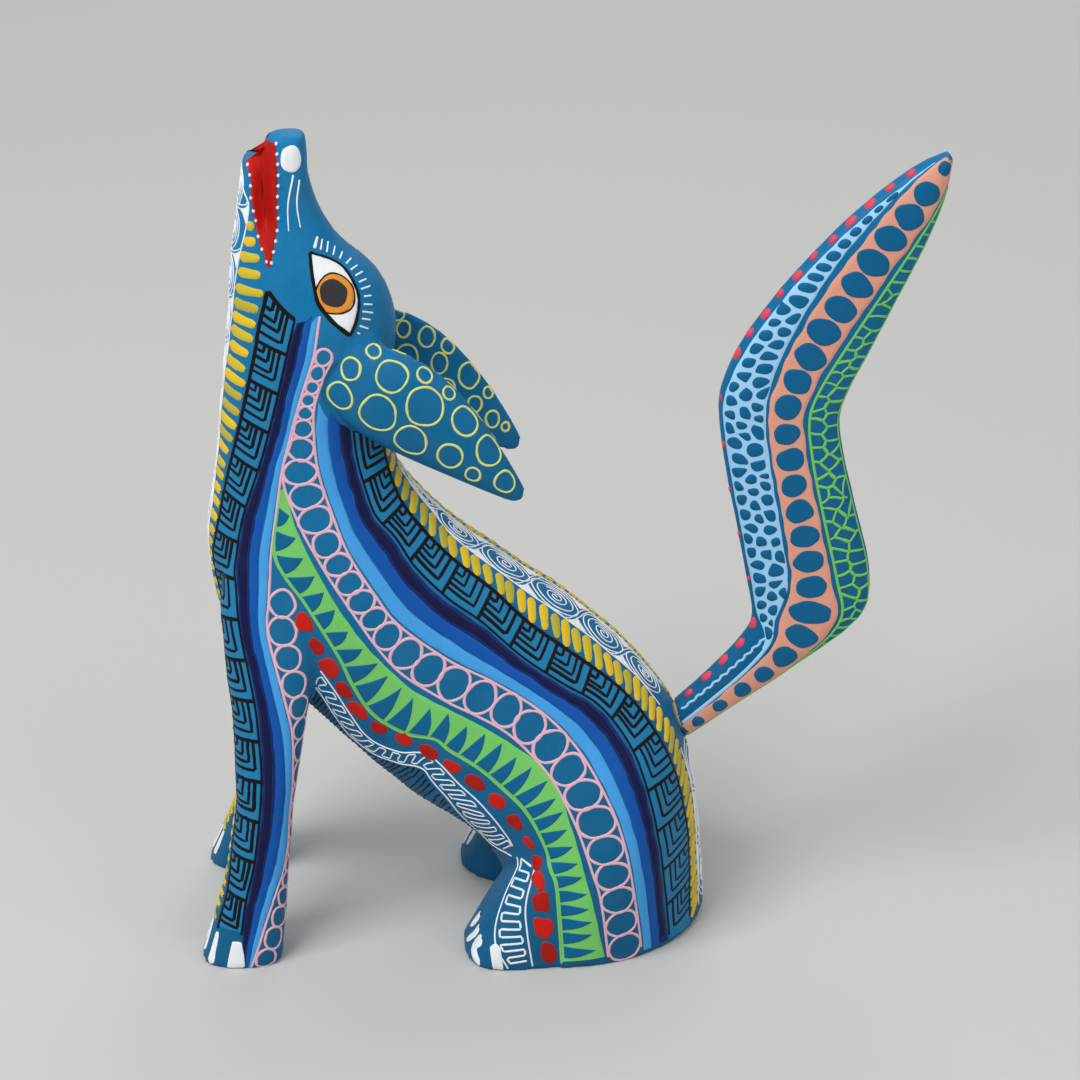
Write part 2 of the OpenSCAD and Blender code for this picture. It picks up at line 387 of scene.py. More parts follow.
class Surface:
    """A carved surface, in millimetres, that paint is laid on except where bare says so of a spot."""

    def __init__(self, obj, body, slot, bare=None):
        self.tree = tree_of(obj)
        self.body, self.slot, self.bare = body, slot, bare

    def lay(self, point):
        """The nearest spot of the surface, and the way out of the wood there."""
        spot, normal, _, _ = self.tree.find_nearest(point)
        return spot, normal

    def axes(self, centre, along):
        """The nearest spot of the surface, and the ways along it and across it there."""
        spot, normal = self.lay(centre)
        ahead = (along - normal * along.dot(normal)).normalized()
        return spot, ahead, normal.cross(ahead)

    def seen(self, x, z, side=-1, start=60):
        """The spot met at x and z when looking square at one side from that far out."""
        spot, _, _, _ = self.tree.ray_cast(Vector((x, start * side, z)), Vector((0, -side, 0)))
        return spot or self.lay(Vector((x, 8 * side, z)))[0]


# ---- guide lines

def bend(points, steps=12):
    """A smooth line through the points."""
    points = [Vector(p) for p in points]
    ends = [points[0] * 2 - points[1]] + points + [points[-1] * 2 - points[-2]]
    line = []
    for k in range(len(points) - 1):
        a, b, c, d = ends[k:k + 4]
        for i in range(steps):
            t = i / steps
            line.append(0.5 * (2 * b + (c - a) * t + (2 * a - 5 * b + 4 * c - d) * t * t
                               + (3 * b - a - 3 * c + d) * t ** 3))
    return line + [points[-1]]


def lengths(line):
    """How far along the line each of its points is."""
    run = [0.0]
    for a, b in zip(line, line[1:]):
        run.append(run[-1] + (b - a).length)
    return run


def at_length(line, run, distance):
    """The point of the line that far along it."""
    distance = min(max(distance, 0.0), run[-1])
    low, high = 0, len(run) - 1
    while high - low > 1:
        middle = (low + high) // 2
        if run[middle] <= distance:
            low = middle
        else:
            high = middle
    gap = run[high] - run[low]
    return line[low].lerp(line[high], (distance - run[low]) / gap if gap > 1e-9 else 0.0)


def evenly(line, count):
    """The line as that many evenly spaced points."""
    run = lengths(line)
    return [at_length(line, run, run[-1] * i / (count - 1)) for i in range(count)]


def way_at(line, run, distance, reach=0.5):
    """The way that the line takes there, from reach before the place to reach after it."""
    return at_length(line, run, distance + reach) - at_length(line, run, distance - reach)


def middle_of(points):
    """The mean of the points."""
    return sum(points, Vector()) / len(points)


def mirrored(points, side):
    """Points of the left side, on the side asked for."""
    return [Vector((x, -y * side, z)) for x, y, z in points]


def crept(line, side, share):
    """The line as it is on the left side; on the right it lies nearer the ridge by that share."""
    if side < 0:
        return line
    return [(x, y * share, z) for x, y, z in line]


def guide(points, side=-1, count=SAMPLES):
    """A smooth guide line given on the left side, moved to the side asked for."""
    return evenly(bend(mirrored(points, side)), count)


class Band:
    """The strip between two guide lines: s runs from 0 to 1 along it, v from 0 to 1 across it."""

    def __init__(self, first, second):
        self.first, self.second = first, second
        middle = [a.lerp(b, 0.5) for a, b in zip(first, second)]
        self.run = lengths(middle)
        self.length = self.run[-1]

    def at(self, s, v):
        target = min(max(s, 0.0), 1.0) * self.length
        a = at_length(self.first, self.run, target)
        b = at_length(self.second, self.run, target)
        return a.lerp(b, v)

    def width(self, s):
        return (self.at(s, 1) - self.at(s, 0)).length

    def square(self, s):
        """The way along the strip at s, and the way across it, as long as the strip is wide."""
        along = (self.at(s + 0.004, 0.5) - self.at(s - 0.004, 0.5)).normalized()
        across = self.at(s, 1) - self.at(s, 0)
        return along, across - along * across.dot(along)

    def path(self, corners, pitch=0.5):
        """The corners (s, v) joined by lines that keep to the strip."""
        points = [self.at(*corners[0])]
        for (s0, v0), (s1, v1) in zip(corners, corners[1:]):
            far = (self.at(s1, v1) - self.at(s0, v0)).length
            pieces = max(1, math.ceil(far / pitch))
            for i in range(1, pieces + 1):
                t = i / pieces
                points.append(self.at(s0 + (s1 - s0) * t, v0 + (v1 - v0) * t))
        return points


DRIFT = 0.12  # how far, as a share of its length, a crossing may lean along a strip
EVENED = 9  # the crossings are averaged over this many on each side


def band(first, second, side=-1):
    """The strip between two lines of points, with its crossings as square to it as its ends allow."""
    a, dense = guide(first, side), guide(second, side, SAMPLES * 3)
    last = len(dense) - 1
    found, low = [], 0
    for i, point in enumerate(a):
        expected = last * i / (SAMPLES - 1)
        window = range(max(low, int(expected - last * DRIFT)), min(last, int(expected + last * DRIFT)) + 1)
        low = min(window, key=lambda k: (dense[k] - point).length_squared, default=low)
        found.append(low)
    found[0], found[-1] = 0, last
    shares = []
    for i in range(SAMPLES):
        reach = min(EVENED, i, SAMPLES - 1 - i)
        near = found[i - reach:i + reach + 1]
        shares.append(sum(near) / len(near))
    b = []
    for share in shares:
        k = min(int(share), last - 1)
        b.append(dense[k].lerp(dense[k + 1], share - k))
    return Band(a, b)


def beside(skin, line, wide, narrower):
    """The strip behind a line on the surface, so wide at its start and that much narrower at its end."""
    steps, reach = 8, 12
    last = len(line) - 1
    second = []
    for i, point in enumerate(line):
        way = line[min(i + reach, last)] - line[max(i - reach, 0)]
        spot, normal = skin.lay(point)
        for _ in range(steps):
            out = normal.cross(way).normalized()
            if out.x < 0:
                out.negate()
            spot, normal = skin.lay(spot + out * ((wide - narrower * (i / last)) / steps))
        second.append(spot)
    even = []
    for i in range(len(second)):
        near = second[max(i - reach, 0):i + reach + 1]
        even.append(skin.lay(middle_of(near))[0])
    return Band(line, even)


# ---- paint

NEARBY = 0.2  # a brush line's way is taken between points this far on each side
STROKE_PITCH = 0.55  # distance between the rows of a brush line
CAP_ANGLES = (0.35, 0.85, 1.3)  # where the rows of its round ends lie
PROFILE = (-1, -0.6, 0, 0.6, 1)  # where the columns of a row lie, as shares of half its width
FILL_PITCH, COLUMN_PITCH = 0.8, 0.9  # distances between the rows and the columns of a coat, at most


def round_point(axes, angle, half_long, half_wide, share):
    """A point of an oval about axes, or nearer its centre by that share."""
    spot, ahead, across = axes
    return (spot + ahead * (math.cos(angle) * half_long * share)
            + across * (math.sin(angle) * half_wide * share))


def wavy(spot, scale, angle, spread, rough):
    """A share near 1 that differs smoothly around a spot."""
    return 1 + rough * noise.noise(spot * scale + Vector((math.cos(angle), math.sin(angle), 0)) * spread)


class Paint:
    """Everything that is painted in one colour on one surface, as one piece."""

    def __init__(self, name, surface, colour):
        self.name, self.surface, self.colour = name, surface, colour
        self.mixes = len(COLOURS[colour])
        self.points, self.faces, self.mix = [], [], []

    def _close(self, faces, up, mix):
        """Adds the faces, turned to look out of the wood."""
        a, b, c = (self.points[i] for i in faces[len(faces) // 2][:3])
        if (b - a).cross(c - a).dot(up) < 0:
            faces = [tuple(reversed(face)) for face in faces]
        self.faces += faces
        self.mix += [mix] * len(faces)

    def _lay(self, point, lift):
        spot, normal = self.surface.lay(point)
        self.points.append(spot + normal * lift)
        return normal

    def sheet(self, rows, lifts, mix=0, closed=False):
        """A skin over rows of points, each column raised by its lift."""
        first, wide = len(self.points), len(rows[0])
        ups = [self._lay(point, lift) for row in rows for point, lift in zip(row, lifts)]
        faces = []
        for i in range(len(rows) - (0 if closed else 1)):
            j = (i + 1) % len(rows)
            for k in range(wide - 1):
                faces.append((first + i * wide + k, first + i * wide + k + 1,
                              first + j * wide + k + 1, first + j * wide + k))
        self._close(faces, ups[len(faces) // 2 // (wide - 1) * wide], mix)

    def stroke(self, path, width, lift=LINE, taper=(1, 1), mix=0, closed=False, wobble=0.12):
        """A brush line with round ends along the path."""
        run = lengths(path)
        total = run[-1]
        if total < 0.15:
            return
        end = min(width / 2, total / 2.2)
        inner = max(1, math.ceil((total - 2 * end) / STROKE_PITCH))
        if closed:
            marks = [(total * i / max(10, inner), 1) for i in range(max(10, inner))]
        else:
            cap = [(end * (1 - math.cos(t)), math.sin(t)) for t in CAP_ANGLES]
            marks = cap + [(end + (total - 2 * end) * i / inner, 1) for i in range(inner + 1)]
            marks += [(total - d, w) for d, w in reversed(cap)]
        rows = []
        for distance, share in marks:
            point = at_length(path, run, distance)
            if closed:
                ahead, behind = (distance + NEARBY) % total, (distance - NEARBY) % total
                way = at_length(path, run, ahead) - at_length(path, run, behind)
            else:
                way = way_at(path, run, distance, NEARBY)
            spot, normal = self.surface.lay(point)
            across = normal.cross(way).normalized()
            t = distance / total
            half = width / 2 * share * (taper[0] + (taper[1] - taper[0]) * t)
            half *= 1 + wobble * noise.noise(point * 0.9)
            rows.append([spot + across * half * k for k in PROFILE])
        self.sheet(rows, (SUNK, lift * 0.75, lift, lift * 0.75, SUNK), mix, closed)

    def fan(self, centre, rim, lift, mix=0):
        """A filled spot of any round shape: its rim points about its centre."""
        reach = max((p - centre).length for p in rim)
        inner = max(1, math.ceil(reach / COLUMN_PITCH) - 1)
        rings = [(1.0, SUNK), (1 - min(0.3, 0.16 / reach), lift * 0.75)]
        rings += [((1 - i / (inner + 1)) * 0.84, lift) for i in range(inner)]
        first, count = len(self.points), len(rim)
        for share, height in rings:
            for p in rim:
                self._lay(centre.lerp(p, share), height)
        up = self._lay(centre, lift)
        faces = []
        for r in range(len(rings) - 1):
            for i in range(count):
                j = (i + 1) % count
                faces.append((first + r * count + i, first + r * count + j,
                              first + (r + 1) * count + j, first + (r + 1) * count + i))
        last = first + (len(rings) - 1) * count
        faces += [(last + i, last + (i + 1) % count, last + count) for i in range(count)]
        self._close(faces, up, mix)

    def oval(self, centre, along, half_long, half_wide, lift=LINE, rough=0.0, mix=0, count=16):
        """A filled oval whose long way is along."""
        axes = self.surface.axes(centre, along)
        rim = []
        for i in range(count):
            angle = 2 * math.pi * i / count
            share = wavy(axes[0], 1.7, angle, 1.1, rough)
            rim.append(round_point(axes, angle, half_long, half_wide, share))
        self.fan(axes[0], rim, lift, mix)

    def ring(self, centre, along, half_long, half_wide, width, lift=LINE, mix=0):
        """An oval outline."""
        axes = self.surface.axes(centre, along)
        count = max(14, math.ceil((half_long + half_wide) * 5))
        path = []
        for i in range(count + 1):
            angle = 2 * math.pi * i / count
            share = wavy(axes[0], 1.3, angle, 1.0, 0.12)
            path.append(round_point(axes, angle, half_long, half_wide, share))
        self.stroke(path, width, lift, mix=mix, closed=True, wobble=0.4)

    def fill(self, strip, s0, s1, v0, v1, lift=FILM, uneven=0.15, mix=0, skew=0.0):
        """A flat coat between two shares of a strip's length and width, its first end askew by skew mm."""
        rows = []
        steps = max(2, math.ceil((s1 - s0) * strip.length / FILL_PITCH))
        widest = max(strip.width(s0 + (s1 - s0) * i / 6) for i in range(7)) * (v1 - v0)
        columns = max(1, math.ceil(widest / COLUMN_PITCH))
        for i in range(steps + 1):
            s = s0 + (s1 - s0) * i / steps
            wide = max(strip.width(s), 0.05)
            sway = uneven * noise.noise(strip.at(s, v0) * 0.35) / wide
            other = uneven * noise.noise(strip.at(s, v1) * 0.35 + Vector((9, 0, 0))) / wide
            a, b = v0 + sway, v1 + other
            rim = min(0.12 / wide, (b - a) * 0.3)
            inside = [a + rim + (b - a - 2 * rim) * k / columns for k in range(columns + 1)]
            left = skew / strip.length * (1 - i / steps)
            rows.append([strip.at(s + left * (v - a) / (b - a), v) for v in [a] + inside + [b]])
        self.sheet(rows, [SUNK] + [lift] * (columns + 1) + [SUNK], mix)

    def done(self):
        """Makes the piece."""
        bare, points = self.surface.bare, self.points
        kept = [i for i, face in enumerate(self.faces) if not (bare and bare(points[face[0]]))]
        mesh = mesh_of(self.name, points, [self.faces[i] for i in kept])
        for material in paints(self.colour):
            mesh.materials.append(material)
        for polygon, mix in zip(mesh.polygons, (self.mix[i] for i in kept)):
            polygon.material_index = mix % self.mixes
            polygon.use_smooth = True
        obj = placed(self.name, mesh)
        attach(obj, self.surface.body)


def layers(surface, **colours):
    """A paint on the surface for each name, in its colour."""
    return [Paint(name, surface, colour) for name, colour in colours.items()]


# ---- guide lines of the body, left side, mm

# Each line runs downwards, and a strip lies between two of them. The chest's and the foreleg's come first,
# then the back's, the flank's, the belly's and the hind foot's.
CHEST_EDGE = [
    (-53.5, -3.8, 136), (-56, -3.6, 124), (-58, -2.8, 110), (-60, -2.3, 98), (-61.5, -2.3, 88),
    (-62.6, -2.5, 77), (-62.4, -3, 69), (-60.8, -4.0, 60), (-59.2, -5.5, 50), (-58, -7, 40),
    (-57.8, -9, 30), (-59.2, -11.2, 20), (-61.5, -13, 12), (-64.2, -15, 3),
]
CHIN_EDGE = [(-56, -1.0, 143.5), (-55, -3.0, 140)]
FRET_FRONT = [
    (-52.6, -5.6, 134), (-51.6, -6.8, 128.5), (-50.8, -7.4, 123), (-52.5, -7.5, 116), (-53.5, -7.5, 110.5),
    (-55.5, -7, 101), (-57, -6.5, 94.5), (-59.5, -5.8, 85.5), (-61, -5.4, 77.5), (-62, -4.4, 70),
    (-60.9, -7.8, 60), (-59.2, -11, 50), (-58.2, -12.8, 43), (-58.2, -14.2, 33), (-59.1, -17, 20),
    (-61, -19.5, 13), (-63.2, -21, 2),
]
FRET_FRONT_LOW = FRET_FRONT[2:]
FRET_BACK = [
    (-46.2, -8.8, 118.2), (-47.5, -9.5, 113), (-49, -9.5, 106.5), (-51, -9.5, 98.5), (-53, -9, 91),
    (-56, -9, 82), (-57.5, -9, 74), (-57.5, -11, 68.5), (-57, -13, 61.5), (-55, -15.5, 50),
    (-54.4, -16.6, 44), (-54, -18, 34), (-55.5, -20.5, 20.5), (-57.2, -21.5, 13), (-58.4, -23.2, 5),
    (-58.4, -23.6, 0),
]
SKY_BACK = [
    (-42, -9, 119), (-43.5, -10, 110.5), (-45.5, -10, 104.5), (-47.5, -10, 96), (-49, -10, 91.5),
    (-50.5, -11, 82.5), (-51.5, -11.5, 75), (-52, -12.5, 67.5), (-52.3, -14, 61.5), (-49.8, -15.5, 50),
    (-48.2, -16.5, 41), (-48.9, -16.6, 30), (-51.2, -18.2, 18.5), (-53.0, -20.5, 12), (-55.4, -22.8, 4),
    (-56.8, -23.6, 0),
]
BLUE_FRONT = [(-45.8, -9, 119)] + FRET_BACK[1:]
CHAIN_LOW = [
    (-42.5, -10, 114), (-45.5, -10, 104.5), (-47.5, -10, 97.5), (-49, -10, 89.5), (-46.5, -11.5, 81.5),
    (-43, -12.5, 74.5), (-39.5, -13.5, 68.5), (-33, -14.5, 58.5), (-28.5, -15, 53.5), (-21.5, -16, 49),
    (-16.5, -16.5, 46.5), (-10.5, -17.5, 43), (-4.5, -19, 37), (-1.5, -20.5, 32.5), (1.5, -22.5, 26),
    (4, -24, 18.5), (5.5, -24.5, 13), (7, -24.5, 1),
]
CHAIN_HIGH = [
    (-39.5, -10, 112.5), (-43, -10, 104), (-43.5, -10, 98.5), (-43, -10, 91), (-41, -11, 84),
    (-38, -12.5, 76), (-33.5, -13.5, 68.5), (-29.5, -14, 63), (-21, -15, 56.5), (-13.5, -15.5, 52.5),
    (-5, -16.5, 47), (1, -18, 41), (5.5, -20.5, 34), (9, -22.5, 26), (11, -23, 16.5), (13.3, -22, 1),
]
BLUE_BACK_LOW = CHAIN_HIGH[1:]
BACK_FRET_INNER = [
    (-37, -8.3, 99), (-36.3, -8.5, 93), (-35, -9, 87), (-33.3, -9.8, 82), (-29.9, -10.2, 78),
    (-26.7, -11.3, 73), (-21, -12, 67), (-15, -12.5, 62.5), (-8, -13.4, 56), (-1, -13.9, 51), (5, -14, 47),
    (10, -15.5, 41), (13, -18, 34), (15.2, -19.5, 26), (16.5, -19.3, 17), (17.5, -18.2, 8),
    (18.2, -17.6, 1),
]
BACK_FRET_OUTER = [
    (-32.3, -3.8, 94), (-31, -4.8, 88.5), (-28.8, -6.4, 83), (-24, -7.7, 77), (-19, -8.3, 72),
    (-13, -9, 67), (-6.6, -10.2, 61), (-1, -10.4, 56.6), (6, -10.3, 51), (12.2, -10.7, 45),
    (16.8, -12.3, 37.5), (19.5, -12.5, 30), (21.1, -12.3, 23), (22, -12, 12), (22.2, -12.2, 1),
]
RIDGE_EDGE = [
    (-30, -1.0, 92), (-26.6, -2.2, 84.5), (-23.8, -3.1, 80), (-20, -4.6, 75.5), (-16, -5.2, 72),
    (-11.5, -5.6, 68.5), (-6.5, -6, 64.5), (-1.5, -6.2, 60.5), (6, -6.2, 54.5), (13, -6, 47.5),
    (17.5, -6.4, 41.5), (20.5, -7.2, 32), (22.5, -7.4, 22), (23.5, -7.5, 10), (24.2, -7.5, 1),
]
GREEN_OUTER = [
    (-48.8, -10.4, 88), (-46.5, -12, 79.5), (-41, -13.5, 68), (-35, -14.5, 59), (-30, -15, 53.5),
    (-26.5, -15.5, 50.5), (-19, -16.5, 46.5), (-12, -17.5, 42.5), (-5, -19, 37.5), (-1.5, -20.5, 32.5),
    (1, -22.5, 24.5), (3, -24, 17), (5, -25, 8.5), (6.3, -24.5, 1),
]
GREEN_INNER = [
    (-49.3, -10.4, 87.5), (-50.4, -11, 82), (-51, -11.5, 76), (-49, -12, 71.5), (-45.5, -13, 66.5),
    (-40.5, -14, 57.5), (-38, -13.5, 51.5), (-35, -13.5, 46), (-31.5, -14, 43.5), (-28, -15, 42),
    (-23.5, -16, 41.5), (-21, -16.5, 39.5), (-16, -17.5, 36.5), (-11.5, -19, 32.5), (-8, -20, 29),
    (-5, -21, 23.5), (-3.5, -22.5, 18.5), (-2.5, -23.5, 16), (-2, -24.5, 9), (-1.5, -25.5, 1),
]
PETALS = [
    (-46.0, -13, 63.3), (-41.2, -13.2, 53.5), (-35.6, -13, 44.2), (-27.9, -15, 40.5), (-19.4, -17, 35.6),
    (-12, -18.7, 29.4), (-7, -20, 22), (-6, -22, 18), (-5.1, -23.9, 14), (-4.9, -25, 9), (-3.9, -25.5, 3.2),
]
WAVE_HIGH = [
    (-45.5, -13, 57.5), (-43.5, -12.5, 54), (-41, -12.5, 49.5), (-38, -12, 44), (-35, -12, 39.5),
    (-30, -13.5, 38), (-25.5, -15.5, 38.5), (-22.5, -16, 36.5), (-19, -16.5, 32.5), (-15.5, -17.5, 29),
    (-12, -17.5, 24.5), (-9, -17.7, 18.7),
]
WAVE_LOW = [
    (-44.5, -11, 50), (-42, -10, 45), (-39.5, -8.5, 40), (-37.5, -8.5, 37.5), (-35, -9.5, 35.5),
    (-30.5, -12.5, 35), (-26, -14.5, 35), (-24, -14.5, 32.5), (-21, -14.5, 28.5), (-18.5, -13.5, 24.5),
    (-14.5, -12, 19), (-10, -16.6, 18),
]
FOOT_WAVE_FRONT = [
    (-9.1, -17.5, 18.5), (-11.1, -20, 12.7), (-12.8, -22.3, 9), (-13.2, -24.9, 5), (-11, -26, 0.4),
]
FOOT_WAVE_BACK = [
    (-6.1, -21.2, 18), (-7.8, -23.9, 12.2), (-7.6, -25.4, 7.4), (-7, -25.9, 3), (-6.6, -25.9, 0.4),
]


# ---- motifs

FRET_CORNERS = 4
SHORTEST_OVAL = 1.6
TOOTH_FOOT = 0.93  # where the feet of the teeth are across their strip
HATCH_LEAN = 2.5


def edges(paint, strip, shares, s0, s1, width):
    """Lines along a strip, at those shares of its width."""
    for v in shares:
        paint.stroke(strip.path([(s0, v), (s1, v)]), width)


def fret(lines, strip, units, s0, s1, width):
    """A stepped fret: units with nested corners, each hung from a bar across the strip."""
    edges(lines, strip, [0.0], s0, s1, width * 1.15)
    edges(lines, strip, [0.98], s0, s1, width * 0.62)
    pitch = (s1 - s0) / units
    for unit in range(units):
        top = s0 + pitch * unit
        lines.stroke(strip.path([(top, 0.0), (top + pitch * 0.10, 1.0)]), width * 1.2)
        for corner in range(1, FRET_CORNERS + 1):
            depth = 0.03 + 0.185 * corner + chance.uniform(-0.03, 0.03)
            reach = 0.09 + 0.17 * corner + chance.uniform(-0.02, 0.02)
            start, turn = top + pitch * 0.08 * reach, top + pitch * (depth + 0.09 * reach)
            corners = [(start, reach), (turn, reach), (top + pitch * (depth - 0.02), 0.0)]
            lines.stroke(strip.path(corners), width * chance.uniform(0.85, 1.15))


def eased(t, ease):
    """Shares from 0 to 1 that start further apart than they end."""
    return t + ease * math.sin(math.pi * t)


def dashes(paint, strip, count, s0, s1, width, slant, v0, v1, thinner=0.0):
    """Slanting brush dabs side by side along a strip, thinner towards its end by that share."""
    for i in range(count):
        s = s0 + (s1 - s0) * eased((i + 0.5 + chance.uniform(-0.08, 0.08)) / count, 0.04)
        low = v0 + chance.uniform(-0.03, 0.05)
        high = v1 + chance.uniform(-0.07, 0.04)
        wide = min(width, (s1 - s0) / count * strip.length * 0.83) * (1 - thinner * step(s, 0.55, 0.8))
        across = strip.square(s)[1].length
        lean = min(slant, across * 0.8) / strip.length
        if across * (high - low) < wide * 0.9:
            high = low + wide * 0.9 / max(across, 0.4)
        path = strip.path([(s - lean / 2, low), (s + lean / 2, high)])
        paint.stroke(path, wide * chance.uniform(0.9, 1.06), OVER, taper=(1.08, 0.80),
                     mix=chance.choice((0, 0, 1, 1, 2)))


def chain(paint, strip, s0, s1, squeeze, width):
    """Ovals side by side along a strip, as wide as the strip and as long as squeeze makes of that."""
    s = s0
    while s < s1:
        wide = strip.square(s)[1].length
        long = max(wide * squeeze(wide), SHORTEST_OVAL) * chance.uniform(0.92, 1.08)
        pitch = long / strip.length
        middle = min(s + pitch / 2, 1)
        across = strip.square(middle)[1]
        paint.ring(strip.at(middle, 0.5), across, across.length / 2 - width * 0.2, long / 2, width)
        s += pitch * 0.97


def teeth(paint, strip, count, s0, s1):
    """Pointed teeth with their feet on the strip's second edge and one side fuller than the other."""
    foot = TOOTH_FOOT
    for i in range(count):
        start = s0 + (s1 - s0) * eased(i / count, 0.06)
        pitch = s0 + (s1 - s0) * eased((i + 1) / count, 0.06) - start
        foot_a, foot_b = start + pitch * 0.08, start + pitch * 0.95
        tip = start + pitch * (0.46 + chance.uniform(-0.12, 0.12))
        point = 0.12 + chance.uniform(-0.05, 0.06)
        rim = []
        for start, low, end, high, full, steps in (
                (foot_a, foot, tip, point, 0, 5), (tip, point, foot_b, foot, 0.15, 6),
                (foot_b, foot, foot_a, foot, 0, 4)):
            for k in range(steps):
                t = k / steps
                bulge = full * pitch * math.sin(math.pi * t)
                rim.append(strip.at(start + (end - start) * t + bulge, low + (high - low) * t))
        paint.fan(middle_of(rim), rim, OVER)


def meander(paint, strip, periods, s0, s1, width, lean):
    """A square wave between two thin lines, its crossings leaning by that share of the strip's width."""
    edges(paint, strip, (0.0, 1.0), s0, s1, WAVE_BORDER)
    corners = []
    for i in range(periods):
        start = s0 + (s1 - s0) * eased(i / periods, 0.05)
        pitch = s0 + (s1 - s0) * eased((i + 1) / periods, 0.05) - start
        tilt = lean * strip.square(start)[1].length / strip.length
        near, far = 0.15 + chance.uniform(0, 0.05), 0.85 - chance.uniform(0, 0.05)
        middle = start + pitch * 0.5
        corners += [(start - tilt, far), (start + tilt, near), (middle + tilt, near), (middle - tilt, far)]
    paint.stroke(strip.path(corners, 0.35), width)


def hatch(paint, strip, count, s0, s1, width):
    """Fine strokes from each edge of a strip to its middle, leaning along it."""
    for i in range(count):
        s = s0 + (s1 - s0) * (i + chance.uniform(0.3, 0.7)) / count
        lean = HATCH_LEAN / strip.length
        for edge in (0.05, 0.95):
            path = strip.path([(s, edge), (s + lean, 0.5 + (edge - 0.5) * 0.06)])
            paint.stroke(path, width, taper=(1.1, 0.7))


def packed(strip, s0, s1, size):
    """Uneven cells that share a strip: each with its seed, its corners and the seeds around it."""
    seeds = []
    far = s0 * strip.length + size * 0.5
    while far < s1 * strip.length - size * 0.3:
        wide = strip.square(far / strip.length)[1].length
        count = max(1, round(wide / size + chance.uniform(-0.45, 0.45)))
        for k in range(count):
            along = far + (chance.uniform(-0.28, 0.28) + (0.3 if k % 2 else -0.1)) * size
            across = wide * ((k + 0.5 + chance.uniform(-0.22, 0.22) * (count > 1)) / count - 0.5)
            seeds.append((along, across))
        far += size * 0.95
    cells = []
    for x, y in seeds:
        wide = strip.square(x / strip.length)[1].length
        near = [(p, q) for p, q in seeds if 0 < abs(p - x) + abs(q - y) and abs(p - x) < size * 2.6]
        near += [(x, wide - y), (x, -wide - y)]
        reach = size * 0.85
        corners = [(x + reach * i, y + reach * j) for i, j in ((-1, -1), (1, -1), (1, 1), (-1, 1))]
        for p, q in near:
            corners = cut(corners, (x + p) / 2, (y + q) / 2, p - x, q - y)
        if len(corners) > 2:
            cells.append(((x, y), corners, near))
    return cells


def on_strip(strip, far, across):
    """The point that far along a strip, and that far from its middle line."""
    s = far / strip.length
    return strip.at(s, 0.5 + across / strip.square(s)[1].length)


def pebbles(paint, strip, s0, s1, size, wall):
    """Round cells packed in a strip, with walls of the strip's colour between them."""
    for _, corners, _ in packed(strip, s0, s1, size):
        count = len(corners)
        x, y = sum(c[0] for c in corners) / count, sum(c[1] for c in corners) / count
        radius = sum(math.dist((x, y), c) for c in corners) / count * 0.86
        shape = []
        for a, b in corners:
            far = math.dist((x, y), (a, b))
            keep = (0.68 * radius + 0.32 * far - wall * 0.5) / far
            shape.append((x + (a - x) * keep, y + (b - y) * keep))
        shape = corners_cut(corners_cut(shape))
        rim = [on_strip(strip, a, b) for a, b in shape]
        paint.fan(on_strip(strip, x, y), rim, OVER)


def walls(paint, strip, s0, s1, size, width):
    """The thin crooked walls between cells packed in a strip, each drawn once."""
    for (x, y), corners, near in packed(strip, s0, s1, size):
        for (ax, ay), (bx, by) in zip(corners, corners[1:] + corners[:1]):
            middle = ((ax + bx) / 2, (ay + by) / 2)
            p, q = min(near, key=lambda seed: math.dist(seed, middle))
            at_edge = p == x and abs(q) > abs(y)
            shared = abs(math.dist((p, q), middle) - math.dist((x, y), middle)) < 0.01
            if at_edge or not shared or (p, q) < (x, y):
                continue
            bow = chance.uniform(-0.25, 0.25)
            path = [on_strip(strip, ax, ay), on_strip(strip, middle[0] + bow, middle[1] + bow * 0.5),
                    on_strip(strip, bx, by)]
            paint.stroke(bend(path, 4), width * chance.uniform(0.8, 1.15), wobble=0.4)


def cut(corners, x, y, out_x, out_y):
    """The part of a shape that lies behind the line through (x, y) facing (out_x, out_y)."""
    kept = []
    for (ax, ay), (bx, by) in zip(corners, corners[1:] + corners[:1]):
        a = (ax - x) * out_x + (ay - y) * out_y
        b = (bx - x) * out_x + (by - y) * out_y
        if a <= 0:
            kept.append((ax, ay))
        if (a < 0 < b) or (b < 0 < a):
            t = a / (a - b)
            kept.append((ax + (bx - ax) * t, ay + (by - ay) * t))
    return kept


def corners_cut(corners):
    """The shape with each corner cut off, a quarter of the way along its sides."""
    softer = []
    for (ax, ay), (bx, by) in zip(corners, corners[1:] + corners[:1]):
        softer.append((ax * 0.75 + bx * 0.25, ay * 0.75 + by * 0.25))
        softer.append((ax * 0.25 + bx * 0.75, ay * 0.25 + by * 0.75))
    return softer


def spiral(paint, centre, along, half_long, half_wide, turns, width):
    """A flattened spiral, wound out from its centre."""
    axes = paint.surface.axes(centre, along)
    path = []
    steps = int(turns * 22)
    for i in range(steps + 1):
        t = i / steps
        path.append(round_point(axes, 2 * math.pi * turns * t, half_long, half_wide, 0.08 + 0.92 * t))
    paint.stroke(path, width)


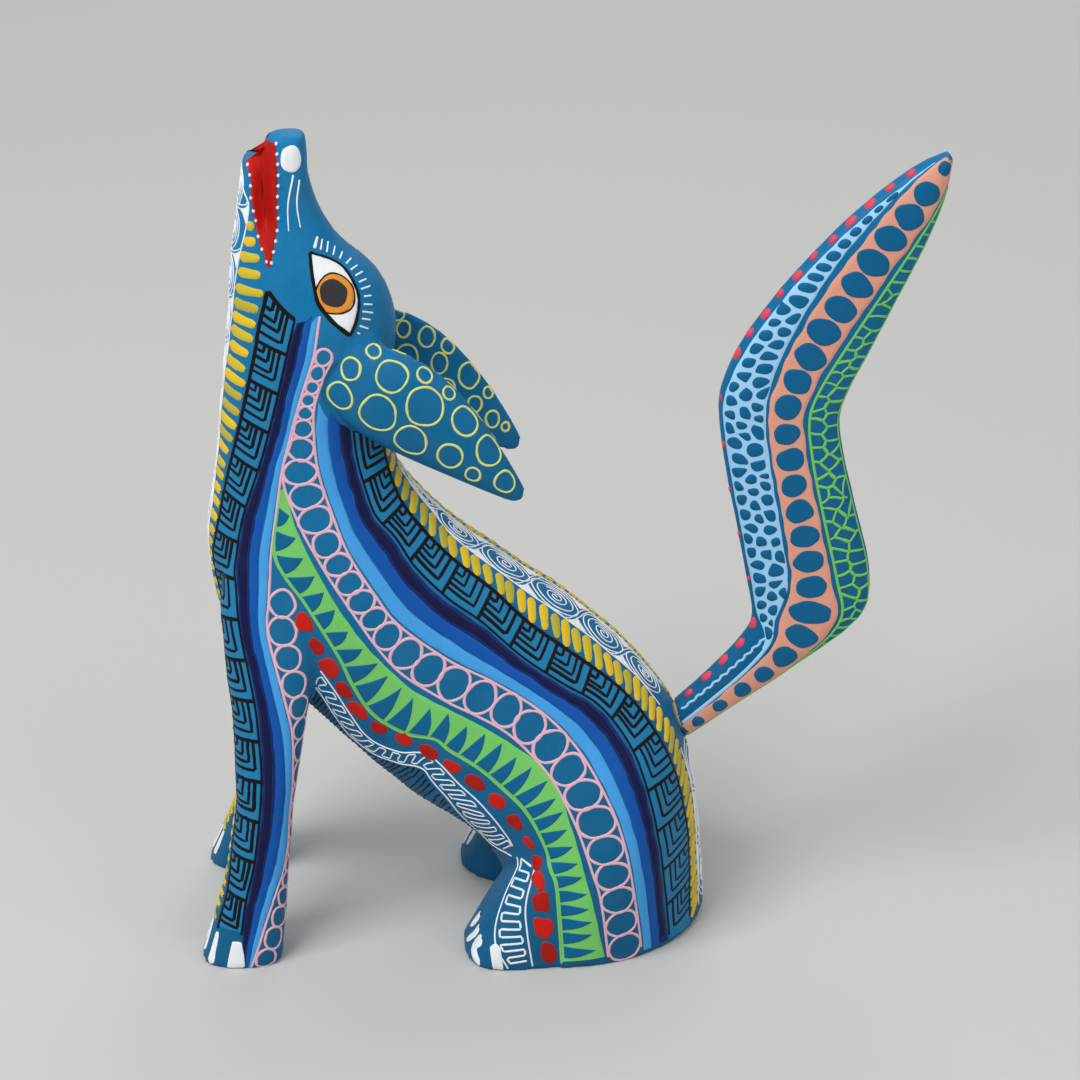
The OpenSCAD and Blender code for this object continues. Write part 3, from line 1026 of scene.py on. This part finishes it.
def spiral_band(paint, strip, count, s0, s1, width):
    """Oval spirals along a strip, joined by double curves, with filled corners and a line down each edge."""
    edges(paint, strip, (0.02, 0.98), s0, s1, width * 1.2)
    pitch = (s1 - s0) / count
    for i in range(count):
        s = s0 + pitch * (i + 0.5)
        half_long = pitch * strip.length * 0.46
        half_wide = strip.width(s) * 0.46
        along = strip.at(s + 0.01, 0.5) - strip.at(s - 0.01, 0.5)
        for share in (1.0, 0.76):
            paint.ring(strip.at(s, 0.5), along, half_long * share, half_wide * share, width)
        spiral(paint, strip.at(s, 0.5), along, half_long * 0.55, half_wide * 0.58, 2.4, width)
        if i + 1 < count:
            gap = s + pitch / 2
            for shift in (-0.035, 0.035):
                path = []
                for k in range(9):
                    t = k / 8
                    swing = 0.5 - 0.5 * math.cos(math.pi * t)
                    s_here = gap + pitch * (0.34 * (t - 0.5) * 2 * 0.6 + shift)
                    path.append(strip.at(s_here, 0.06 + 0.88 * swing))
                paint.stroke(path, width)
            for edge, way in ((0.03, -1), (0.97, 1)):
                rim = [strip.at(gap - pitch * (0.20 + 0.04 * way), edge),
                       strip.at(gap - pitch * 0.02 * way, edge),
                       strip.at(gap + pitch * (0.20 - 0.04 * way), edge),
                       strip.at(gap + pitch * 0.03, edge - way * 0.18),
                       strip.at(gap - pitch * 0.03, edge - way * 0.26)]
                paint.fan(middle_of(rim), rim, LINE)


# ---- the body's paint

# How often each motif repeats along its strip
CHEST_FRETS, BACK_FRETS = 16, 15
CHEST_DASHES, RIDGE_DASHES = 53, 47
LEAF_TEETH = 31
PETAL_PITCHES = 16.2  # how many petals would fit if they weren't crowded at the haunch's fold
BELLY_WAVES, FOOT_WAVES = 19, 7
BELLY_HATCHES = 42
THROAT_SPIRALS, BACK_SPIRALS, RUMP_SPIRALS = 9, 6, 3
# Widths of the lines, and sizes of the dabs, chains and petals
CHEST_FRET_LINE, BACK_FRET_LINE = 0.84, 0.80
CHEST_DASH, RIDGE_DASH, RIDGE_DASH_SLANT = 2.15, 1.95, 2.6
CHEST_DASH_THINNER = 0.28
CHAIN_BORDER, CHAIN_LINE, LEG_CHAIN_LINE = 0.50, 0.58, 0.55
LEG_CHAIN, LEG_CHAIN_NARROWER = 4.9, 0.1
ROUND_BELOW = 4.6  # the body's ovals are round where the strip is narrower than this
PETAL = (1.95, 1.42)
WAVE_BORDER, BELLY_WAVE, FOOT_WAVE = 0.35, 0.30, 0.46
BELLY_HATCH = 0.36
SPIRAL_LINE = 0.26
# How near the ridge the right side's lines lie, as shares of the left side's distances
RIDGE_CREEP, FRET_CREEP = 0.12, 0.6


def petal_row(red, line):
    """Uneven petals along a line, smaller and closer together at the haunch's fold."""
    run = lengths(line)
    far, number = 0.0, 0
    while far < run[-1] + 0.1:
        share = far / run[-1]
        crowded = step(share, 0.68, 0.74) * (1 - step(share, 0.80, 0.86))
        size = chance.uniform(0.92, 1.1) * (1 - 0.30 * crowded + 0.16 * step(share, 0.84, 0.92))
        red.oval(at_length(line, run, far), way_at(line, run, far), PETAL[0] * size, PETAL[1] * size, OVER,
                 rough=0.40, mix=number % 2, count=18)
        far += run[-1] / PETAL_PITCHES * (1 - 0.32 * crowded)
        number += 1


def paint_body(skin):
    """All the bands of the body, on both sides."""
    pieces = layers(
        skin, stripes_navy="navy", stripes_indigo="indigo", stripes_royal="royal", stripes_sky="sky",
        fret_ground="teal", fret_lines="black", yellow_dashes="yellow", pink_chains="pink",
        green_band="green", green_band_teeth="base", red_petals="red", white_lines="white")
    navy, indigo, royal, sky, ground, frets, yellow, pink, green, dark, red, white = pieces
    for side in SIDES:
        front = band(FRET_FRONT_LOW, FRET_BACK, side)
        ground.fill(front, 0, 0.95, 0.0, 1.0)
        fret(frets, front, CHEST_FRETS, 0.0, 0.955, CHEST_FRET_LINE)
        back_edge = crept(BACK_FRET_OUTER, side, FRET_CREEP)
        back = band(back_edge, BACK_FRET_INNER, side)
        ground.fill(back, 0, 1, 0.0, 1.0)
        fret(frets, back, BACK_FRETS, 0.0, 0.99, BACK_FRET_LINE)

        blue = band(BLUE_FRONT, SKY_BACK, side)
        indigo.fill(blue, 0.012, 1.0, 0.03, 0.42, skew=-0.6, uneven=0.3)
        navy.fill(blue, 0.014, 0.97, 0.09, 0.34, LINE, skew=-0.5, uneven=0.35)
        royal.fill(blue, 0.008, 1.0, 0.40, 0.67, skew=-1.2)
        sky.fill(blue, 0.010, 1.0, 0.68, 0.94, skew=-1.8)
        blue = band(BLUE_BACK_LOW, BACK_FRET_INNER, side)
        sky.fill(blue, 0.0, 1.0, 0.06, 0.35, skew=1.5)
        royal.fill(blue, 0.0, 1.0, 0.36, 0.64, skew=0.8)
        indigo.fill(blue, 0.0, 1.0, 0.63, 0.94, uneven=0.3)
        navy.fill(blue, 0.02, 0.99, 0.69, 0.87, LINE, uneven=0.35)

        edging = band(CHEST_EDGE, FRET_FRONT, side)
        dashes(yellow, edging, CHEST_DASHES, 0.0, 0.97, CHEST_DASH, 0.0, 0.02, 0.87, CHEST_DASH_THINNER)
        edging = band(crept(RIDGE_EDGE, side, RIDGE_CREEP), back_edge, side)
        dashes(yellow, edging, RIDGE_DASHES, 0.0, 0.99, RIDGE_DASH, RIDGE_DASH_SLANT, 0.06, 0.90)

        main = band(CHAIN_LOW, CHAIN_HIGH, side)
        edges(pink, main, (0.0, 1.0), 0.01, 0.995, CHAIN_BORDER)
        chain(pink, main, 0.0, 0.985, lambda wide: 1.0 if wide < ROUND_BELOW else 0.80, CHAIN_LINE)
        pink.stroke(guide(SKY_BACK, side), CHAIN_BORDER)
        leg = beside(skin, guide(SKY_BACK[6:], side), LEG_CHAIN, LEG_CHAIN_NARROWER)
        chain(pink, leg, 0.055, 0.98, lambda wide: 1.02, LEG_CHAIN_LINE)

        leaf = band(GREEN_OUTER, GREEN_INNER, side)
        green.fill(leaf, 0.0, 0.995, 0.0, 1.0)
        green.stroke(guide(GREEN_INNER, side), CHAIN_BORDER)
        teeth(dark, leaf, LEAF_TEETH, 0.03, 0.99)

        petal_row(red, guide(PETALS, side))
        meander(white, band(WAVE_HIGH, WAVE_LOW, side), BELLY_WAVES, 0.04, 0.98, BELLY_WAVE, 0.16)
        foot = band(FOOT_WAVE_FRONT, FOOT_WAVE_BACK, side)
        meander(white, foot, FOOT_WAVES, 0.0, 0.99, FOOT_WAVE, 0.0)

    throat = CHIN_EDGE + CHEST_EDGE[:7]
    spiral_band(white, Band(guide(throat, -1), guide(throat, 1)), THROAT_SPIRALS, 0.0, 1.0, SPIRAL_LINE)
    ridge = Band(guide(RIDGE_EDGE, -1), guide(crept(RIDGE_EDGE, 1, RIDGE_CREEP), 1))
    spiral_band(white, ridge, BACK_SPIRALS, 0.03, 0.62, SPIRAL_LINE)
    spiral_band(white, ridge, RUMP_SPIRALS, 0.70, 0.99, SPIRAL_LINE)
    belly = Band(guide(WAVE_LOW, -1), guide(WAVE_LOW, 1))
    hatch(frets, belly, BELLY_HATCHES, 0.02, 0.97, BELLY_HATCH)
    for piece in pieces:
        piece.done()


# ---- the head's and feet's paint

EYE_FRONT = [(-43.5, 129.5), (-43.1, 125.5), (-42.2, 121.3), (-40.0, 118.2), (-37, 115.5)]
EYE_BACK = [(-43.5, 129.5), (-38.5, 127), (-35.6, 122.5), (-35.8, 118.3), (-37, 115.5)]
EYE_MIDDLE = (-39.6, 122.4)
IRIS, IRIS_SIZE, IRIS_OUTLINE = (-39.3, 122.7), (3.6, 3.5), (3.65, 3.55)
PUPIL, PUPIL_SIZE = (-39.65, 122.8), (2.65, 2.7)
LASHES = 16
LOWER_LIP_DOTS, UPPER_LIP_DOTS = 9, 12
LIP_DOT = (0.36, 0.27)
NOSTRIL_SIZE = (2.35, 2.0)
NOSTRIL = (-46.3, 145.2)
MUZZLE_LINES = [[(-46, 142.5), (-47, 137.5), (-47, 133)], [(-45, 141.5), (-45.5, 137.5), (-45, 133.5)]]
LOWER_LIP = [(-55.8, -3.6, 149.5), (-53.8, -4.5, 143), (-51.9, -5.8, 135), (-51.0, -7.2, 127)]
MOUTH_BACK = [(-51.4, -1.2, 149.5), (-51.3, -1.2, 143), (-51.1, -2.2, 135), (-51.0, -6.2, 127)]
UPPER_LIP = [(-49.4, -3.6, 149.5), (-48.8, -4.5, 143), (-49.4, -5.8, 135), (-50.4, -7.2, 127)]
FRONT_TOES = [
    [(-64.1, -14.2, 7.6), (-65.5, -15.4, 2.0)], [(-63.5, -17.5, 7.0), (-65.0, -18.8, 1.3)],
    [(-62.4, -20.8, 6.2), (-64.1, -22.1, 0.3)],
]
FRONT_BIG_TOE = [
    (-60.0, -22.9, 5.2), (-58.3, -23, 5.2), (-57.9, -23.5, 2.6), (-57.8, -23.8, 0.1), (-61.1, -23.4, 0.1),
    (-60.6, -23.1, 2.7),
]
HIND_TOES = [
    [(-16.3, -16.0, 6.4), (-18.0, -14.8, 3.2)],
    [(-15.9, -19.6, 5.4), (-17.3, -18.8, 3.4), (-18.1, -17.4, 1.6)],
    [(-15.4, -22.8, 4.9), (-16.8, -22.0, 2.7), (-16.0, -24.7, 0.5)],
]
HIND_BIG_TOE = [
    (-14.1, -24.6, 4.2), (-13.6, -24.9, 5.0), (-12.9, -25.2, 5.1), (-12.3, -25.4, 4.3), (-11.8, -25.9, 0.1),
    (-13.7, -25.8, 0.1),
]


def paint_eyes(skin):
    """Almond eyes with an orange iris and lashes along their back edge."""
    white, orange, pupil, black, lashes = pieces = layers(
        skin, eye_whites="white", irises="orange", pupils="pupil", eye_outlines="black", lashes="white")
    for side in SIDES:
        front = bend([skin.seen(x, z, side) for x, z in EYE_FRONT], 8)
        back = bend([skin.seen(x, z, side) for x, z in EYE_BACK], 8)
        rim = front + back[-2:0:-1]
        centre = skin.seen(*EYE_MIDDLE, side)
        white.fan(centre, rim, FILM)
        iris = skin.seen(*IRIS, side)
        orange.oval(iris, UP, *IRIS_SIZE, LINE, count=28)
        pupil.oval(skin.seen(*PUPIL, side), UP, *PUPIL_SIZE, OVER, rough=0.16, count=24)
        black.ring(iris, UP, *IRIS_OUTLINE, 0.42, OVER)
        black.stroke(evenly(front, 60), 0.75, DROP, taper=(0.8, 1.2), wobble=0.35)
        black.stroke(evenly(back, 60), 0.55, DROP, taper=(0.9, 1.2), wobble=0.35)
        run = lengths(back)
        for i in range(LASHES):
            share = 0.03 + 0.92 * i / (LASHES - 1)
            spot, normal = skin.lay(at_length(back, run, run[-1] * share))
            out = way_at(back, run, run[-1] * share).cross(normal).normalized()
            if out.dot(spot - centre) < 0:
                out.negate()
            start, end = spot + out * chance.uniform(0.75, 1.0), spot + out * chance.uniform(2.7, 3.1)
            lashes.stroke([start, start.lerp(end, 0.5), end], 0.62 if i == 0 else 0.36, taper=(1.0, 0.9))
    for piece in pieces:
        piece.done()


def paint_mouth(skin):
    """The red lining of the mouth, the white dots on the lips, the nostrils and the lines below them."""
    red, white = pieces = layers(skin, mouth_lining="red", muzzle_marks="white")
    for side in SIDES:
        lower = Band(guide(MOUTH_BACK, side), guide(LOWER_LIP, side))
        upper = Band(guide(MOUTH_BACK, side), guide(UPPER_LIP, side))
        red.fill(lower, 0.10, 0.99, -0.12, 1.04, LINING, uneven=0.0, mix=0)
        # the upper wall takes the darker red: painted shade, as if that side of the groove lay in shadow
        red.fill(upper, 0.06, 0.99, -0.12, 1.02, LINING, uneven=0.0, mix=1)
        dots = [lower.at(0.22 + 0.73 * i / (LOWER_LIP_DOTS - 1), 1.10) for i in range(LOWER_LIP_DOTS)]
        dots += [upper.at(0.06 + 0.90 * i / (UPPER_LIP_DOTS - 1), 1.10) for i in range(UPPER_LIP_DOTS)]
        for spot in dots:
            white.oval(spot, UP, *LIP_DOT, DROP, count=10)
        white.oval(skin.seen(*NOSTRIL, side), UP, *NOSTRIL_SIZE, LINE, rough=0.12, count=24)
        for line in MUZZLE_LINES:
            white.stroke(bend([skin.seen(x, z, side) for x, z in line], 8), 0.34, taper=(1.2, 0.7))
    for piece in pieces:
        piece.done()


def paint_toes(skin):
    """White toes on the paws."""
    white = Paint("toes", skin, "white")
    for side in SIDES:
        for toe in FRONT_TOES:
            white.stroke(mirrored(toe, side), 1.6, OVER, taper=(0.6, 1.15))
        for toe in HIND_TOES:
            white.stroke(bend(mirrored(toe, side), 6), 2.2, OVER, taper=(1.3, 0.75))
        for toe in (FRONT_BIG_TOE, HIND_BIG_TOE):
            corners = mirrored(toe, side)
            rim = evenly(corners + corners[:1], 25)[:-1]
            white.fan(middle_of(corners), rim, OVER)
    white.done()


# ---- the ears' paint

# Each ring's centre (x, z) and its radius.
OUTER_RINGS = [
    (-37, 110, 1.9), (-33, 113, 1.3), (-28.6, 112.4, 1.3), (-30, 109.3, 2.8), (-24.4, 109.1, 1.4),
    (-20.3, 105.8, 1.2), (-24.5, 104, 3.4), (-39, 105, 2.5), (-32.5, 102.5, 3.3), (-17.6, 100.9, 2.5),
    (-27, 97.5, 2.9), (-20.4, 94.6, 2.3), (-16.4, 91, 1.4), (-13.6, 95.4, 2.5), (-10.9, 89.5, 2.0),
]
INNER_RINGS = [
    (-28, 109.1, 1.4), (-23.9, 107.4, 1.7), (-20.2, 105.6, 1.35), (-21.8, 102.3, 1.7), (-16.5, 99.8, 2.2),
    (-13.2, 96.3, 1.0), (-15.6, 94.2, 1.4), (-12.5, 91.2, 1.4), (-10.2, 89.6, 0.8), (-27.5, 103.6, 2.2),
    (-20.8, 97, 2.1), (-25.6, 98.4, 1.5), (-18, 92.2, 1.2),
]


EAR_LINE = 0.46


def paint_ear(name, skin, side):
    """Pale yellow rings of many sizes on both faces of an ear."""
    lemon = Paint(name, skin, "lemon")
    for rings, face, start, tall in ((OUTER_RINGS, side, 60, 1.04), (INNER_RINGS, -side, 0, 1.15)):
        for x, z, radius in rings:
            lemon.ring(skin.seen(x, z, face, start), UP, radius * tall, radius / tall, EAR_LINE)
    lemon.done()


# ---- the tail's paint

# Stations from the tip to the root: the upper and the lower edge (x, z) of the side face.
TAIL_UPPER = [
    (64.6, 143.9), (58.6, 140.8), (49.4, 133.2), (39.4, 122.4), (31.6, 111.8), (27.6, 103.4), (26.6, 97.4),
    (27.8, 87.5), (30, 76), (32.4, 63.6), (33.3, 57), (31.6, 53), (26.2, 46.6), (17.6, 38),
]
TAIL_LOWER = [
    (65.6, 142.6), (64.8, 137), (61.8, 128), (57.6, 118.5), (53.2, 108.8), (49.4, 100.8), (47.8, 95.2),
    (48.8, 88), (51.2, 78), (54, 66), (52.8, 57.2), (41.8, 47.8), (31.6, 40.4), (21.6, 33.2),
]
# Where each band starts and ends at those stations, as shares of the way from the upper to the lower edge.
NET_FROM = [0.10, 0.12, 0.08, 0.06, 0.05, 0.04, 0.03, 0.03, 0.03, 0.03, 0.06, 0.30, 0.40, 0.42]
NET_TO = [0.10, 0.16, 0.20, 0.26, 0.32, 0.36, 0.38, 0.37, 0.355, 0.32, 0.20, 0.36, 0.46, 0.50]
PEACH_FROM = [0.15, 0.20, 0.27, 0.32, 0.36, 0.39, 0.40, 0.395, 0.38, 0.345, 0.24, 0.42, 0.50, 0.52]
PEACH_TO = [0.95, 0.92, 0.80, 0.76, 0.72, 0.70, 0.69, 0.69, 0.68, 0.68, 0.76, 0.93, 0.95, 0.93]
LEAF_FROM = [0.97, 0.95, 0.86, 0.82, 0.78, 0.75, 0.74, 0.73, 0.72, 0.72, 0.80, 0.95, 0.97, 0.97]
LEAF_TO = 0.98
WAVE_FROM = [0.20] * 11 + [0.18, 0.16, 0.14]
WAVE_TO = [0.24] * 11 + [0.24, 0.24, 0.22]
PEACH_CELLS = 25
PEBBLE, PEBBLE_WALL = 2.75, 0.48
LEAF_CELL, LEAF_WALL = 2.55, 0.56
WAVE_TURNS, WAVE_LINE = 22, 0.50
EDGE_DOTS = 28
EDGE_DOT = (1.15, 0.85)


def tail_line(skin, shares, side):
    """A line down the tail's side face, at those shares of the way across it."""
    upper = bend([(x, 0, z) for x, z in TAIL_UPPER])
    lower = bend([(x, 0, z) for x, z in TAIL_LOWER])
    share = bend([(value, 0, 0) for value in shares])
    line = []
    for a, b, part in zip(upper, lower, share):
        spot = a.lerp(b, part.x)
        line.append(skin.seen(spot.x, spot.z, side))
    return line


def paint_tail(skin):
    """The tail's three bands on both side faces, and coral dots along its upper edge."""
    pale, peach, leaf, dark, coral = pieces = layers(
        skin, tail_pale_band="pale", tail_peach_band="peach", tail_green_band="leaf", tail_cells="base",
        tail_edge_dots="coral")
    for side in SIDES:
        blue = Band(tail_line(skin, NET_FROM, side), tail_line(skin, NET_TO, side))
        pale.fill(blue, 0.03, 0.825, 0.0, 1.0, uneven=0.2)
        pale.stroke(blue.path([(0.80, 0.9), (0.995, 0.9)]), 0.75)
        pebbles(dark, blue, 0.10, 0.815, PEBBLE, PEBBLE_WALL)
        wave = Band(tail_line(skin, WAVE_FROM, side), tail_line(skin, WAVE_TO, side))
        turns = [(0.81 + 0.17 * i / WAVE_TURNS, 0.5 + 0.34 * (-1) ** i) for i in range(WAVE_TURNS)]
        pale.stroke(wave.path(turns), WAVE_LINE)

        warm = Band(tail_line(skin, PEACH_FROM, side), tail_line(skin, PEACH_TO, side))
        peach.fill(warm, 0.0, 0.995, 0.0, 1.0, uneven=0.3)
        for i in range(PEACH_CELLS):
            s = 0.008 + 0.980 * (i + 0.5) / PEACH_CELLS
            across = warm.square(s)[1]
            wide = across.length * 0.42 * chance.uniform(0.94, 1.03)
            long = min(warm.length / PEACH_CELLS * 0.475, wide * 0.96)
            long *= chance.uniform(0.92, 1.04)
            dark.oval(warm.at(s, 0.5), across, wide, long, OVER, rough=0.18, count=22)

        green = Band(tail_line(skin, LEAF_FROM, side), tail_line(skin, [LEAF_TO] * len(LEAF_FROM), side))
        for v, width in ((0.0, 0.55), (1.0, 0.36)):
            leaf.stroke(green.path([(0.05, v), (0.86, v)]), width)
        leaf.stroke(green.path([(0.84, 0.4), (0.99, 0.4)]), 0.4)
        walls(leaf, green, 0.08, 0.86, LEAF_CELL, LEAF_WALL)

    edge = bend([(x, 0, z) for x, z in TAIL_UPPER])
    run = lengths(edge)
    for i in range(EDGE_DOTS):
        share = 0.055 + 0.93 * i / (EDGE_DOTS - 1)
        upright = 0.42 < share < 0.80
        if upright and i % 2:
            continue
        size = chance.uniform(0.85, 1.15) * (0.6 if upright else 1.0)
        along = way_at(edge, run, run[-1] * share)
        spot = at_length(edge, run, run[-1] * share) + Vector((0, chance.uniform(-1.5, -0.8), 0))
        coral.oval(spot, along, EDGE_DOT[0] * size, EDGE_DOT[1] * size, OVER, rough=0.25, count=14)
    for piece in pieces:
        piece.done()


# ---- camera, light and floor

FLOOR_SIZE = 6  # metres, as are the lamps' places and sizes
FLOOR_GREY = (0.565, 0.57, 0.555)
DAYLIGHT = 0.42  # strength of the world's white light
LIT_SPOT = Vector((0, 0, 0.07))
# Each lamp's place, size and watts
SOFTBOXES = {
    "key": ((-0.46, -0.40, 0.86), 0.56, 7.2),
    "fill": ((0.7, -0.6, 0.6), 0.8, 1.6),
    "rim": ((0.2, 0.8, 0.8), 0.7, 2.6),
}
AZIMUTH, ELEVATION = math.radians(-2), math.radians(25)
DISTANCE, AIM = 714, Vector((-4.45, 0, 72.4))
LENS, SENSOR = 135, 36


def softbox(name, place, size, watts):
    """A square lamp aimed at the figure."""
    lamp = bpy.data.lights.new(name, "AREA")
    lamp.shape = "SQUARE"
    lamp.size = size
    lamp.energy = watts
    obj = placed(name, lamp)
    obj.location = place
    obj.rotation_euler = (LIT_SPOT - Vector(place)).to_track_quat("-Z", "Y").to_euler()


def stage_set():
    """A pale floor and soft light from above."""
    bpy.ops.mesh.primitive_plane_add(size=FLOOR_SIZE, location=(0, 0, 0))
    floor = bpy.context.object
    floor.name = "floor"
    material = bpy.data.materials.new("floor")
    material.use_nodes = True
    shader = material.node_tree.nodes["Principled BSDF"]
    shader.inputs["Base Color"].default_value = (*FLOOR_GREY, 1)
    shader.inputs["Roughness"].default_value = 0.8
    floor.data.materials.append(material)

    world = bpy.data.worlds.new("studio")
    bpy.context.scene.world = world
    world.use_nodes = True
    light = world.node_tree.nodes["Background"]
    light.inputs["Color"].default_value = (1.0, 1.0, 1.0, 1)
    light.inputs["Strength"].default_value = DAYLIGHT
    bpy.context.scene.view_settings.view_transform = "Standard"
    for name, lamp in SOFTBOXES.items():
        softbox(name, *lamp)


def camera():
    """The photograph's view: a long lens, looking down at the figure's left side."""
    back = Vector((math.sin(AZIMUTH) * math.cos(ELEVATION), -math.cos(AZIMUTH) * math.cos(ELEVATION),
                   math.sin(ELEVATION)))
    lens = bpy.data.cameras.new("camera")
    lens.lens = LENS
    lens.sensor_width = SENSOR
    obj = placed("camera", lens)
    obj.location = (AIM + back * DISTANCE) * MM
    obj.rotation_mode = "QUATERNION"
    obj.rotation_quaternion = (-back).to_track_quat("-Z", "Y")
    lens.clip_start, lens.clip_end = 0.05, 20
    bpy.context.scene.camera = obj


body = carved_body()
skin = Surface(body, "figure", "body_paint", in_socket)
whole = remeshed("whole", ["body", "ear_left", "ear_right"], EAR_VOXEL)
left_ear = carved_ear("carved_ear_left", "ear_left", -1, whole, skin.tree)
right_ear = carved_ear("carved_ear_right", "ear_right", 1, whole, skin.tree)
bpy.data.objects.remove(whole)
tail = carved_tail()
paint_body(skin)
paint_eyes(skin)
paint_mouth(skin)
paint_toes(skin)
paint_ear("left_ear_rings", Surface(left_ear, "figure", "ear_paint"), -1)
paint_ear("right_ear_rings", Surface(right_ear, "figure", "ear_paint"), 1)
paint_tail(Surface(tail, "tail", "tail_paint", on_peg))

stage_set()
camera()
